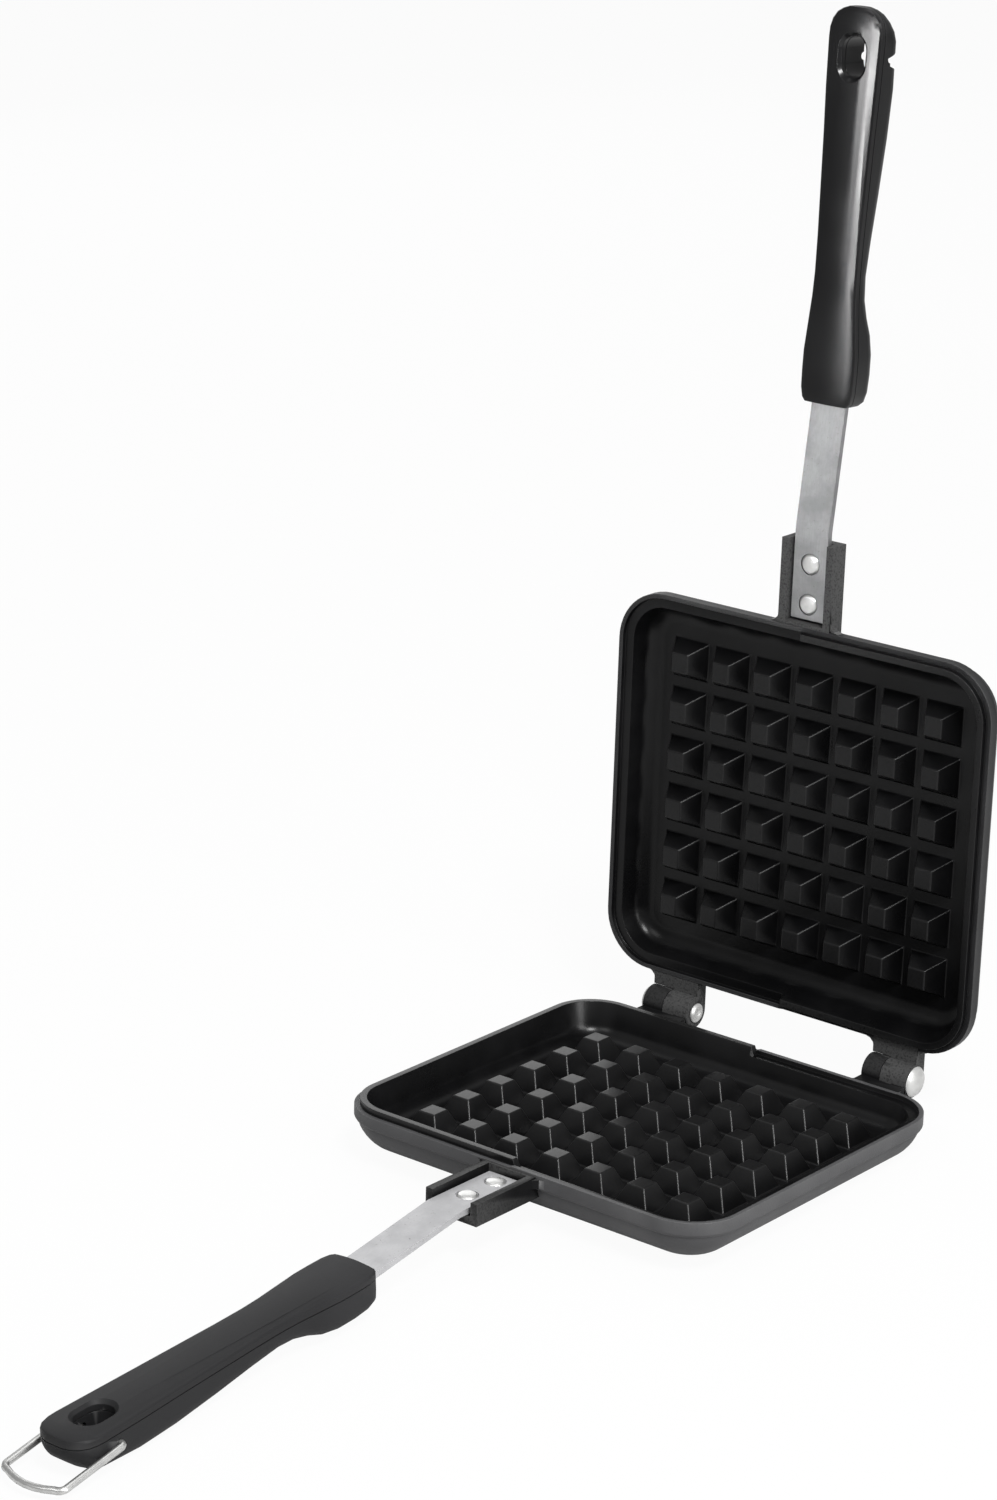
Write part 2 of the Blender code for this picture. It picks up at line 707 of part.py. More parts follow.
# Bail: a wire U whose ends turn inwards and pivot in the handle's sides
def bail(name, material, parent):
    arm = handle_width / 2 + gap + bail_wire_radius
    stub = hang_slot_width / 2 + bail_stub_inset
    corner = bail_corner
    pivot_corner = bail_wire_radius + gap
    route = [(-stub, 0)]
    route += arc((-arm + pivot_corner, -pivot_corner), pivot_corner, 90, 180, wire_bend_segments)
    route += arc((-arm + corner, corner - bail_reach), corner, 180, 270, wire_bend_segments)
    span = arm - corner
    steps = 6
    for step in range(1, steps):
        share = 2 * step / steps - 1
        route.append((share * span, -bail_reach - bail_bow * (1 - share * share)))
    route += arc((arm - corner, corner - bail_reach), corner, 270, 360, wire_bend_segments)
    route += arc((arm - pivot_corner, -pivot_corner), pivot_corner, 0, 90, wire_bend_segments)
    route += [(stub, 0)]
    curve = bpy.data.curves.new(name, "CURVE")
    curve.dimensions = "3D"
    curve.bevel_depth = bail_wire_radius
    curve.bevel_resolution = 2
    curve.use_fill_caps = True
    spline = curve.splines.new("POLY")
    spline.points.add(len(route) - 1)
    for point, (x, y) in zip(spline.points, route):
        point.co = (x, y, 0, 1)
    curve.materials.append(material)
    thing = bpy.data.objects.new(name, curve)
    bpy.context.scene.collection.objects.link(thing)
    thing.parent = parent
    thing.location = (0, -bail_pivot_place, -bail_pivot_depth)
    thing.rotation_euler = (bail_hang, 0, 0)
    return thing


# Assembly
def make_half(side, stations, drop, slope, half):
    cast = finish(f"{side}_cast_aluminium", (0.030, 0.030, 0.032), 0.45, 0.0)
    steel = finish(f"{side}_strap_steel", (0.55, 0.55, 0.56), 0.40, 1.0)
    plastic = finish(f"{side}_handle_plastic", (0.025, 0.025, 0.027), 0.35, 0.0)
    bright = finish(f"{side}_rivet_steel", (0.75, 0.75, 0.74), 0.25, 1.0)
    cast_pan(f"{side}_pan", stations, cast, half)
    bar = strap(f"{side}_strap", drop, slope, steel, half)
    for number, place in enumerate(("inner", "outer")):
        strap_rivet(f"{side}_strap_rivet_{place}", number, bright, half)
    handle = add_frame(f"{side}_handle_frame", half, (0, -handle_start, -drop), (slope, 0, 0))
    handle_shell(f"{side}_handle_shell", half.name == "lower_half", plastic, handle)
    handle_cover(f"{side}_handle_cover", plastic, handle)
    for number, place in enumerate(("near", "far")):
        combine(bar, tang_pin_bore(f"{side}_tang", number, steel, handle), "DIFFERENCE")
        tang_pin(f"{side}_tang_pin_{place}", number, bright, handle)
    return handle


def resting_tilt():
    """The tilt at which the base's back edge and the lower handle's back both
    touch the table."""
    edge = hinge_setback + base_inset
    best = 0
    for along, _, depth in handle_stations():
        place = handle_start + along * math.cos(lower_handle_slope) - depth * math.sin(lower_handle_slope)
        low = lower_handle_drop + along * math.sin(lower_handle_slope) + depth * math.cos(lower_handle_slope)
        best = max(best, math.atan2(low - pan_depth, place - edge))
    return best


def world_box(objects):
    bpy.context.view_layer.update()
    graph = bpy.context.evaluated_depsgraph_get()
    low = [math.inf] * 3
    high = [-math.inf] * 3
    for thing in objects:
        shown = thing.evaluated_get(graph)
        mesh = shown.to_mesh()
        for vertex in mesh.vertices:
            place = shown.matrix_world @ vertex.co
            for axis in range(3):
                low[axis] = min(low[axis], place[axis])
                high[axis] = max(high[axis], place[axis])
        shown.to_mesh_clear()
    return Vector(low), Vector(high)


def main():
    for thing in list(bpy.data.objects):
        bpy.data.objects.remove(thing, do_unlink=True)
    stand = add_frame("stand", None, (0, 0, 0), (-resting_tilt(), 0, 0))
    lower = add_frame("lower_half", stand, (0, 0, 0), (0, 0, 0))
    upper = add_frame("upper_half", stand, (0, 0, 0), (lid_opening, math.pi, 0))
    side = pan_width / 2
    left = (left_station_start - side, station_split - side, left_station_end - side)
    right = (side - right_station_end, side - station_split, side - right_station_start)
    stations = (left, right)
    turned_over = [tuple(-x for x in reversed(station)) for station in stations]
    lower_handle = make_half("lower", stations, lower_handle_drop, lower_handle_slope, lower)
    make_half("upper", turned_over, upper_handle_drop, upper_handle_slope, upper)
    bright = finish("hinge_rivet_steel", (0.80, 0.80, 0.79), 0.2, 1.0)
    hinge_rivet("left_hinge_rivet", left[0], left[2], bright, lower)
    hinge_rivet("right_hinge_rivet", right[2], right[0], bright, lower)
    chrome = finish("bail_chrome", (0.80, 0.80, 0.80), 0.12, 1.0)
    bail("latch_bail", chrome, lower_handle)
    solids = [thing for thing in bpy.data.objects if thing.type != "EMPTY" and not thing.hide_render]
    low, high = world_box(solids)
    stand.location = (-(low.x + high.x) / 2, -(low.y + high.y) / 2, -low.z)
    bpy.context.view_layer.update()


main()
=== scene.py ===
# %% [markdown]
# # A stovetop waffle iron, standing open
# Two cast pans with a dark non-stick coating are hinged at the back. Each carries a
# riveted steel strap and a two-piece plastic handle, and a wire bail at the tip of the
# lower handle can latch the iron shut. The frame that is loaded here already holds the
# solids in metres, each on the body that it moves with. The cells below soften them,
# add what the solids leave out, give every surface its finish and light the result.

# %% Load the frame
import json
import math

import bpy
from mathutils import Euler, Matrix, Vector


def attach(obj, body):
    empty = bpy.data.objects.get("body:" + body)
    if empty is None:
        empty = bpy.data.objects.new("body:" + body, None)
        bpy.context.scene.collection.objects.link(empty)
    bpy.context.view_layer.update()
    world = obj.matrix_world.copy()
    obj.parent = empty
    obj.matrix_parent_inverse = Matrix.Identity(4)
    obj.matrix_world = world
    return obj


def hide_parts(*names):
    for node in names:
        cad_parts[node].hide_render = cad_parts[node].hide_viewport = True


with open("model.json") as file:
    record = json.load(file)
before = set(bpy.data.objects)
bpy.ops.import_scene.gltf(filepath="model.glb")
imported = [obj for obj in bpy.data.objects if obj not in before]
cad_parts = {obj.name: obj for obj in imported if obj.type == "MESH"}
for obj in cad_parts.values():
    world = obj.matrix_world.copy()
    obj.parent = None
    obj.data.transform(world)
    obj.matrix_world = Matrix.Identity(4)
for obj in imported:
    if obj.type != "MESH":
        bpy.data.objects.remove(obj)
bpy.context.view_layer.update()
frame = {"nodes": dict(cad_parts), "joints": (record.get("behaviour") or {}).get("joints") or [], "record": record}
print("solids:", len(frame["nodes"]))

# %% [markdown]
# Each half of the iron is described in its own frame: the hinge pin is the X axis, the
# handle points along -Y and the cooking face looks along +Z. The iron stands a little
# tilted, so the frame is read from the record: the hinge's place, and the direction in
# which the flat base of the lower pan faces. The upper half is the same frame turned over.

# %% Frames of the two halves
mm = 0.001
hinge = next(joint for joint in frame["joints"] if joint["name"] == "lid_hinge")
base = next(mount for mount in frame["record"]["mounts"] if mount["name"] == "base")
tilt = math.atan2(-base["axis"][1], -base["axis"][2])
turned_over = Euler((math.radians(90), math.radians(180), 0)).to_matrix().to_4x4()
lower_frame = Matrix.Translation(hinge["pos_m"]) @ Matrix.Rotation(-tilt, 4, "X")
upper_frame = lower_frame @ turned_over
print("tilt in degrees:", round(math.degrees(tilt), 3))

# %% [markdown]
# The camera stands to the right of the handles and a little above the iron. A long lens
# from over a metre away keeps the two pans nearly parallel in the picture. Its place and
# direction are given in the lower half's frame, so that it follows the tilt.

# %% Camera
camera_place = Vector((0.7044, -1.0434, 0.5006))
azimuth, elevation, roll = (math.radians(angle) for angle in (38.36, 17.835, 1.893))
focal_length_mm = 98.155
sensor_width_mm = 36
nearest_seen = 0.05
farthest_seen = 20

ahead = Vector((-math.sin(azimuth) * math.cos(elevation), math.cos(azimuth) * math.cos(elevation),
                -math.sin(elevation)))
level = Vector((math.cos(azimuth), math.sin(azimuth), 0))
down = ahead.cross(level)
right = math.cos(roll) * level - math.sin(roll) * down
below = math.sin(roll) * level + math.cos(roll) * down
turn = Matrix((right, -below, -ahead)).transposed()
camera_data = bpy.data.cameras.new("camera")
camera_data.lens = focal_length_mm
camera_data.sensor_width = sensor_width_mm
camera_data.sensor_fit = "AUTO"
camera_data.clip_start = nearest_seen
camera_data.clip_end = farthest_seen
camera = bpy.data.objects.new("camera", camera_data)
bpy.context.collection.objects.link(camera)
camera.matrix_world = lower_frame @ Matrix.Translation(camera_place) @ turn.to_4x4()
bpy.context.scene.camera = camera
print("camera at", [round(value, 3) for value in camera.matrix_world.translation])

# %% [markdown]
# Shader maths reads best as sums. This class wraps one socket, and each operator adds the
# Math node that it stands for. The reflected forms let a plain number stand on the left.

# %% Sums of sockets
class Value:
    def __init__(self, nodes, socket):
        self.nodes = nodes
        self.socket = socket

    def combine(self, operation, first, second):
        return self.nodes.node("ShaderNodeMath", {"operation": operation}, {0: first, 1: second})

    def __add__(self, other):
        return self.combine("ADD", self, other)

    def __radd__(self, other):
        return self.combine("ADD", other, self)

    def __sub__(self, other):
        return self.combine("SUBTRACT", self, other)

    def __rsub__(self, other):
        return self.combine("SUBTRACT", other, self)

    def __mul__(self, other):
        return self.combine("MULTIPLY", self, other)

    def __rmul__(self, other):
        return self.combine("MULTIPLY", other, self)


# %% [markdown]
# Any other node comes from one method, which takes the node's type, its settings, and the
# values or links of its sockets. It serves the materials and the world alike.

# %% Nodes of one tree
class Nodes:
    def __init__(self, tree):
        self.tree = tree

    def node(self, kind, settings={}, inputs={}, output=0):
        made = self.tree.nodes.new(kind)
        for name, setting in settings.items():
            setattr(made, name, setting)
        for name, value in inputs.items():
            self.put(made.inputs[name], value)
        return Value(self, made.outputs[output])

    def put(self, socket, value):
        if isinstance(value, Value):
            self.tree.links.new(value.socket, socket)
        else:
            socket.default_value = value


# %% [markdown]
# A finish is one material. Its patterns read Object coordinates, so they stay on the piece
# when it moves. A Mix node holds sockets for each kind of data under the same names, so
# its colour sockets are found by number.

# %% One finish
mix_factor_input = 0
mix_color_inputs = (6, 7)
mix_color_output = 2


class Finish(Nodes):
    def __init__(self, name, color, roughness, metallic=0.0, specular=0.5):
        self.material = bpy.data.materials.new(name)
        self.material.use_nodes = True
        self.material.diffuse_color = (*color, 1)
        super().__init__(self.material.node_tree)
        self.shader = self.tree.nodes["Principled BSDF"]
        self.set("Base Color", (*color, 1))
        self.set("Roughness", roughness)
        self.set("Metallic", metallic)
        self.set("Specular IOR Level", specular)
        self.place = self.node("ShaderNodeTexCoord", output="Object")

    def set(self, name, value):
        self.put(self.shader.inputs[name], value)

    def stretched(self, scale=(1, 1, 1), middle=(0, 0, 0)):
        centred = self.node("ShaderNodeVectorMath", {"operation": "SUBTRACT"}, {0: self.place, 1: middle})
        return self.node("ShaderNodeMapping", {}, {"Vector": centred, "Scale": scale})

    def noise(self, scale, detail=2.0, roughness=0.5, where=None):
        return self.node("ShaderNodeTexNoise", {}, {"Vector": where or self.place, "Scale": scale,
                                                    "Detail": detail, "Roughness": roughness})

    def between(self, value, low, high, to_low=0.0, to_high=1.0):
        return self.node("ShaderNodeMapRange", {"interpolation_type": "SMOOTHSTEP"},
                         {"Value": value, "From Min": low, "From Max": high,
                          "To Min": to_low, "To Max": to_high})

    def mixed(self, factor, first, second):
        inputs = {mix_factor_input: factor}
        for number, color in zip(mix_color_inputs, (first, second)):
            inputs[number] = (*color, 1) if isinstance(color, tuple) else color
        return self.node("ShaderNodeMix", {"data_type": "RGBA"}, inputs, output=mix_color_output)

    def bump(self, height, distance, strength):
        bumped = self.node("ShaderNodeBump", {},
                           {"Height": height, "Distance": distance, "Strength": strength})
        self.set("Normal", bumped)

    # Pointiness is high on outer edges. The colour it brings in is worn edges on the plastic, and on the coating
    # partly thin coating, partly a painted highlight.
    def edge_wear_and_highlight(self, start, end):
        edge = self.node("ShaderNodeNewGeometry", output="Pointiness")
        return self.between(edge, start, end)


# %% [markdown]
# The pans are cast aluminium under a sprayed non-stick coating. It is nearly black and dries
# with a fine grain that scatters the light. One noise gives the grain for the bump, and a
# second one gives slow changes of colour and gloss. Pointiness, which is high on outer edges,
# brings in a paler colour there: partly a thinner coating on sharp edges, partly a painted
# highlight for the thin bright lines that rounded edges catch. Inside, the coating is smooth
# and reflects little. Outside it is rougher and greyer, and the lower pan's outside is painted
# greyer still, as painted light on its lit walls. The hinge knuckles and the brackets are black
# and dull: rough_casting reflects least of all, and its painted edge highlight stays darker
# than that of the outer walls.

# %% Non-stick coating
coating_grain = {"scale": 1500, "detail": 3.0, "roughness": 0.6}
coating_cloud = {"scale": 45, "detail": 3.0, "roughness": 0.55}
pale_range = (0.35, 0.68)
thin_edge_highlight_range = (0.52, 0.60)
grain_range = (0.30, 0.55)
edge_left_between_grains = 0.35
coating_gloss = 0.06
cloud_roughness = 0.10
grain_roughness = 0.08
grain_strength = 0.55


def coating(name, color, pale, thin_edge_and_highlight_color, roughness, specular, grain_depth, seed):
    finish = Finish(name, color, roughness, specular=specular)
    where = finish.stretched(middle=seed)
    grain = finish.noise(**coating_grain, where=where)
    cloud = finish.noise(**coating_cloud, where=where)
    tint = finish.mixed(finish.between(cloud, *pale_range), color, pale)
    # Paler edges: partly a thinner coating, partly a painted highlight in place of the glints on rounded edges.
    thin_coat_and_highlight = finish.edge_wear_and_highlight(*thin_edge_highlight_range) * finish.between(grain, *grain_range, edge_left_between_grains)
    finish.set("Base Color", finish.mixed(thin_coat_and_highlight, tint, thin_edge_and_highlight_color))
    finish.set("Roughness", roughness - coating_gloss + cloud_roughness * cloud + grain_roughness * grain)
    finish.bump(grain, grain_depth, grain_strength)
    print("coating:", name)
    return finish.material


lower_coating = coating(
    "lower_coating", color=(0.0025, 0.0025, 0.0027), pale=(0.0050, 0.0050, 0.0053),
    thin_edge_and_highlight_color=(0.05, 0.05, 0.05), roughness=0.27, specular=0.26,
    grain_depth=0.04 * mm, seed=(0.013, 0.021, 0.034))
upper_coating = coating(
    "upper_coating", color=(0.0020, 0.0020, 0.0022), pale=(0.0040, 0.0040, 0.0043),
    thin_edge_and_highlight_color=(0.04, 0.04, 0.04), roughness=0.27, specular=0.20,
    grain_depth=0.04 * mm, seed=(0.055, 0.007, 0.089))
# The same coating is on both pans. The lower pan's outside is painted paler than the upper's, as painted light on
# its lit outer walls.
lower_outside_painted_lit = coating(
    "lower_outside_painted_lit", color=(0.050, 0.050, 0.052), pale=(0.068, 0.068, 0.070),
    thin_edge_and_highlight_color=(0.14, 0.14, 0.14), roughness=0.48, specular=0.26,
    grain_depth=0.12 * mm, seed=(0.213, 0.021, 0.034))
upper_outside = coating(
    "upper_outside", color=(0.010, 0.010, 0.0105), pale=(0.017, 0.017, 0.018),
    thin_edge_and_highlight_color=(0.10, 0.10, 0.10), roughness=0.42, specular=0.24,
    grain_depth=0.10 * mm, seed=(0.255, 0.007, 0.089))
rough_casting = coating(
    "rough_casting", color=(0.0040, 0.0040, 0.0042), pale=(0.0090, 0.0090, 0.0095),
    thin_edge_and_highlight_color=(0.055, 0.055, 0.055), roughness=0.48, specular=0.06,
    grain_depth=0.12 * mm, seed=(0.455, 0.107, 0.189))

# %% [markdown]
# Both handles are pressed from black heat-proof plastic. The lower one is satin, the upper
# one is polished. Such plastic has a very slow waviness and, in raking light, a grain
# from the mould. Roughness follows the grain, so that highlights break up a little.

# %% Plastic of the handles
plastic_wave = {"scale": 70, "detail": 2.0, "roughness": 0.5}
plastic_grain = {"scale": 900, "detail": 3.0, "roughness": 0.6}
hand_marks = {"scale": 28, "detail": 2.0, "roughness": 0.5}
handled_range = (0.45, 0.7)
handled_brightness = 1.4
worn_range = (0.53, 0.62)
worn_share = 0.6
worn_color = (0.09, 0.09, 0.09)
plastic_gloss = 0.03
wave_roughness = 0.06
mould_roughness = 0.05
handled_roughness = 0.04
wave_share = 0.8
mould_share = 0.2
wave_strength = 0.5


def plastic(name, color, roughness, specular, wave_depth, seed):
    finish = Finish(name, color, roughness, specular=specular)
    where = finish.stretched(middle=seed)
    wave = finish.noise(**plastic_wave, where=where)
    grain = finish.noise(**plastic_grain, where=where)
    handled = finish.between(finish.noise(**hand_marks, where=where), *handled_range)
    tint = finish.mixed(handled, color, tuple(handled_brightness * channel for channel in color))
    finish.set("Base Color", finish.mixed(finish.edge_wear_and_highlight(*worn_range) * worn_share, tint, worn_color))
    finish.set("Roughness", roughness - plastic_gloss + wave_roughness * wave + mould_roughness * grain
               + handled_roughness * handled)
    finish.bump(wave * wave_share + grain * mould_share, wave_depth, wave_strength)
    print("plastic:", name)
    return finish.material


lower_plastic = plastic("lower_plastic", color=(0.014, 0.014, 0.0148), roughness=0.50, specular=0.16,
                        wave_depth=0.08 * mm, seed=(0.3, 0.1, 0.2))
upper_plastic = plastic("upper_plastic", color=(0.004, 0.004, 0.0043), roughness=0.19, specular=0.30,
                        wave_depth=0.04 * mm, seed=(0.7, 0.4, 0.1))

# %% [markdown]
# The straps are sheared from rolled steel strip. Rolling leaves fine lines along the
# strip, and the flat faces are dulled by handling. The lines are a noise that is squeezed
# across the strap and left long in the strap's own direction.

# %% Steel of the straps
rolled_lines = {"scale": 1.0, "detail": 3.0, "roughness": 0.6}
dull_patches = {"scale": 95, "detail": 4.0, "roughness": 0.62}
small_pits = {"scale": 1300, "detail": 1.0, "roughness": 0.5}
across_lines = 1900
along_lines = 45
patch_range = (0.34, 0.66)
line_range = (0.35, 0.75)
pit_range = (0.70, 0.76)
line_tint = 0.30
pit_tint = 0.5
pit_color = (0.20, 0.19, 0.18)
patch_roughness = 0.14
line_roughness = 0.10
line_height = 0.7
pit_depth = 0.6
rolling_depth = 0.04 * mm
rolling_strength = 0.5


def strap_steel(name, color, dull, roughness, squeeze):
    finish = Finish(name, color, roughness, metallic=1.0)
    lines = finish.noise(**rolled_lines, where=finish.stretched(squeeze))
    patch = finish.noise(**dull_patches, where=finish.stretched())
    pit = finish.between(finish.noise(**small_pits), *pit_range)
    tint = finish.mixed(finish.between(patch, *patch_range), color, dull)
    tint = finish.mixed(finish.between(lines, *line_range) * line_tint, tint, dull)
    finish.set("Base Color", finish.mixed(pit * pit_tint, tint, pit_color))
    finish.set("Roughness", roughness + patch_roughness * patch + line_roughness * lines)
    finish.bump(lines * line_height - pit * pit_depth, rolling_depth, rolling_strength)
    print("strap steel:", name)
    return finish.material


# Both straps are the same steel. The lower one is painted paler, as painted light because it faces up into the
# lamps, and the upper one darker, as painted shade.
lower_strap_steel = strap_steel("lower_strap_steel", color=(0.62, 0.62, 0.63), dull=(0.53, 0.53, 0.54),
                                roughness=0.54, squeeze=(across_lines, along_lines, across_lines))
upper_strap_steel = strap_steel("upper_strap_steel", color=(0.35, 0.35, 0.355), dull=(0.27, 0.27, 0.275),
                                roughness=0.46, squeeze=(across_lines, across_lines, along_lines))

# %% [markdown]
# Rivets are bright drawn steel, with the marks of the hammer that set them. The bail is
# smooth bright spring wire, so it takes the same recipe without the marks.

# %% Bright metals
hammer_marks = {"scale": 240, "detail": 2.0, "roughness": 0.5}
drawn_grain = {"scale": 2600, "detail": 2.0, "roughness": 0.5}
hammer_range = (0.3, 0.7)
hammered_brightness = 0.82
hammer_roughness = 0.10
drawn_roughness = 0.05
hammer_strength = 0.6


def bright_metal(name, color, roughness, metallic, mark_depth, seed):
    finish = Finish(name, color, roughness, metallic=metallic)
    where = finish.stretched(middle=seed)
    hammer = finish.noise(**hammer_marks, where=where)
    drawn = finish.noise(**drawn_grain, where=where)
    darker = tuple(hammered_brightness * channel for channel in color)
    finish.set("Base Color", finish.mixed(finish.between(hammer, *hammer_range), color, darker))
    finish.set("Roughness", roughness + hammer_roughness * hammer + drawn_roughness * drawn)
    if mark_depth:
        finish.bump(hammer, mark_depth, hammer_strength)
    print("bright metal:", name)
    return finish.material


lower_rivet_steel = bright_metal("lower_rivet_steel", color=(0.80, 0.80, 0.79), roughness=0.24,
                                 metallic=0.85, mark_depth=0.04 * mm, seed=(0.1, 0.2, 0.3))
upper_rivet_steel = bright_metal("upper_rivet_steel", color=(0.72, 0.72, 0.71), roughness=0.24,
                                 metallic=0.85, mark_depth=0.04 * mm, seed=(0.4, 0.2, 0.3))
hinge_rivet_steel = bright_metal("hinge_rivet_steel", color=(0.62, 0.62, 0.61), roughness=0.34,
                                 metallic=0.6, mark_depth=0.03 * mm, seed=(0.1, 0.6, 0.3))
bail_wire = bright_metal("bail_wire", color=(0.60, 0.60, 0.59), roughness=0.27,
                         metallic=0.9, mark_depth=0, seed=(0.1, 0.2, 0.9))

# %% [markdown]
# The solids have knife-sharp edges, which catch no light. Real castings, pressings and
# sheared strips all have small rounded edges, and these show as the thin bright lines
# that describe the shape. A copy of a solid is merged, its flat faces are joined again,
# a bevel rounds each edge that is sharper than a given angle, and the copy then stands
# for the solid. A round wire has no such edge: its copy is only merged and smoothed.

# %% Rounded copies of solids
weld_distance = 0.002 * mm
flat_degrees = 0.6
edge_segments = 2


def only(thing):
    bpy.ops.object.select_all(action="DESELECT")
    thing.select_set(True)
    bpy.context.view_layer.objects.active = thing


def soften(piece, degrees):
    only(piece)
    bpy.ops.object.shade_smooth_by_angle(angle=math.radians(degrees))
    weighting = piece.modifiers.new("weighting", "WEIGHTED_NORMAL")
    weighting.keep_sharp = True
    bpy.ops.object.modifier_apply(modifier="weighting")


def rounded(node, piece_name, body, material, edge, sharp=30, smooth=35):
    solid = bpy.data.objects[node]
    piece = bpy.data.objects.new(piece_name, solid.data.copy())
    bpy.context.collection.objects.link(piece)
    only(piece)
    bpy.ops.object.mode_set(mode="EDIT")
    bpy.ops.mesh.select_all(action="SELECT")
    bpy.ops.mesh.remove_doubles(threshold=weld_distance)
    if edge:
        bpy.ops.mesh.dissolve_limited(angle_limit=math.radians(flat_degrees))
    bpy.ops.object.mode_set(mode="OBJECT")
    if edge:
        bevel = piece.modifiers.new("edges", "BEVEL")
        bevel.width = edge
        bevel.segments = edge_segments
        bevel.limit_method = "ANGLE"
        bevel.angle_limit = math.radians(sharp)
        bpy.ops.object.modifier_apply(modifier="edges")
    soften(piece, smooth)
    piece.data.materials.clear()
    piece.data.materials.append(material)
    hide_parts(node)
    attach(piece, body)
    print(piece_name, "faces:", len(piece.data.polygons))
    return piece


# %% [markdown]
# Edit mode works on what is selected. These helpers enter it with nothing selected, and
# then pick faces, edges or points by their place or by the way they face.

# %% Picking by place
level_enough = 0.9


def pick(piece, kind, test):
    only(piece)
    bpy.ops.object.mode_set(mode="EDIT")
    bpy.ops.mesh.select_mode(type=kind)
    bpy.ops.mesh.select_all(action="DESELECT")
    bpy.ops.object.mode_set(mode="OBJECT")
    mesh = piece.data
    parts = {"VERT": mesh.vertices, "EDGE": mesh.edges, "FACE": mesh.polygons}[kind]
    for part in parts:
        if kind == "EDGE":
            part.select = test(*[mesh.vertices[index].co for index in part.vertices])
        else:
            part.select = test(part)
    bpy.ops.object.mode_set(mode="EDIT")


def leave():
    bpy.ops.object.mode_set(mode="OBJECT")


def every(part):
    return True


def faces_up(face):
    return face.normal.z > level_enough


def faces_down(face):
    return face.normal.z < -level_enough


def finish_with(piece, kind, **settings):
    only(piece)
    modifier = piece.modifiers.new("finish", kind)
    for name, setting in settings.items():
        setattr(modifier, name, setting)
    bpy.ops.object.modifier_apply(modifier="finish")


# %% [markdown]
# A pan could be cut from one block, but a caster thinks in sections, and so does inset:
# each inset draws the outline inwards by one step of the section and lifts or drops it.
# The first section follows the outside, from the foot of the rim's straight band down the
# bulged wall to the base.

# %% Section of the outside
pan_width = 144.8 * mm
pan_rear = -10.3 * mm
pan_front = -140.9 * mm
pan_middle = (pan_rear + pan_front) / 2
rim_top = -0.4 * mm
band_foot = -4.4 * mm
band_edge_inset = 0.4 * mm
band_edge_drop = 0.7 * mm
wall_top = -5.6 * mm
wall_top_inset = 1.2 * mm
base_level = -14.8 * mm
base_inset = 9.6 * mm
wall_bulge = 4 / 3
wall_steps = 10


def outside_section():
    points = [(0.0, band_foot), (band_edge_inset, band_foot - band_edge_drop)]
    for step in range(wall_steps + 1):
        angle = math.radians(90 * step / wall_steps)
        reach = max(0.0, math.cos(angle)) ** wall_bulge
        fall = math.sin(angle) ** wall_bulge
        inset = base_inset - (base_inset - wall_top_inset) * reach
        points.append((inset, wall_top + (base_level - wall_top) * fall))
    return points


print("points of the outside section:", len(outside_section()))

# %% [markdown]
# The second section climbs the lip of the rim, runs down the inner wall and rounds the
# cove to the floor. Its first ring, just outside the lip, is spare: the outer wall of the
# recess starts there, and so keeps clear of the other pan's lip.

# %% Section of the inside
spare_ring_inset = 1.5 * mm
lip_start = 1.8 * mm
lip_end = 4.0 * mm
lip_level = 1.1 * mm
seat_inset = 4.9 * mm
seat_level = -1.5 * mm
cove_start = 6.0 * mm
cove_top = -5.4 * mm
cove_width = 6.2 * mm
cove_depth = 5.0 * mm
cove_steps = 7


def inside_section():
    points = [(0.0, rim_top), (spare_ring_inset, rim_top), (lip_start, rim_top), (lip_start, lip_level),
              (lip_end, lip_level), (seat_inset, seat_level), (cove_start, cove_top)]
    for step in range(1, cove_steps + 1):
        angle = math.radians(90 * step / cove_steps)
        points.append((cove_start + cove_width * (1 - math.cos(angle)),
                       cove_top - cove_depth * math.sin(angle)))
    return points


print("points of the inside section:", len(inside_section()))

# %% [markdown]
# The tray starts as a block as high as the rim's straight band. Its upright edges are
# rounded first, so that every inset after that keeps the round corners. The lower face
# then follows one section, and the upper face the other.

# %% Tray of a pan
corner_radius = 17.8 * mm
corner_segments = 12
least_upright = 1 * mm


def follow(section, up):
    for (inset, height), (next_inset, next_height) in zip(section, section[1:]):
        rise = (next_height - height) * up
        bpy.ops.mesh.inset(thickness=next_inset - inset, depth=rise, use_even_offset=True)


def tray():
    bpy.ops.object.select_all(action="DESELECT")
    bpy.ops.mesh.primitive_cube_add(size=1, location=(0, pan_middle, (rim_top + band_foot) / 2),
                                    scale=(pan_width, pan_rear - pan_front, rim_top - band_foot))
    piece = bpy.context.object
    bpy.ops.object.transform_apply(location=True, rotation=True, scale=True)
    pick(piece, "EDGE", lambda first, last: abs(first.z - last.z) > least_upright)
    bpy.ops.mesh.bevel(offset=corner_radius, segments=corner_segments, profile=0.5, affect="EDGES")
    leave()
    pick(piece, "FACE", faces_down)
    follow(outside_section(), -1)
    leave()
    pick(piece, "FACE", faces_up)
    follow(inside_section(), 1)
    leave()
    print("tray faces:", len(piece.data.polygons))
    return piece


# %% [markdown]
# One side of the rim carries a raised lip, the other side a recess that takes the lip of
# the other pan. Both are made from the rings that the insets left on the rim. A ring's
# points are found by how far they lie inside the pan's outline, by their height, and by
# their side of the middle line. A little slack allows for rounding in the numbers.

# %% Rings of the rim
step_half = 0.6 * mm
ring_slack = 0.1 * mm
level_slack = 0.05 * mm


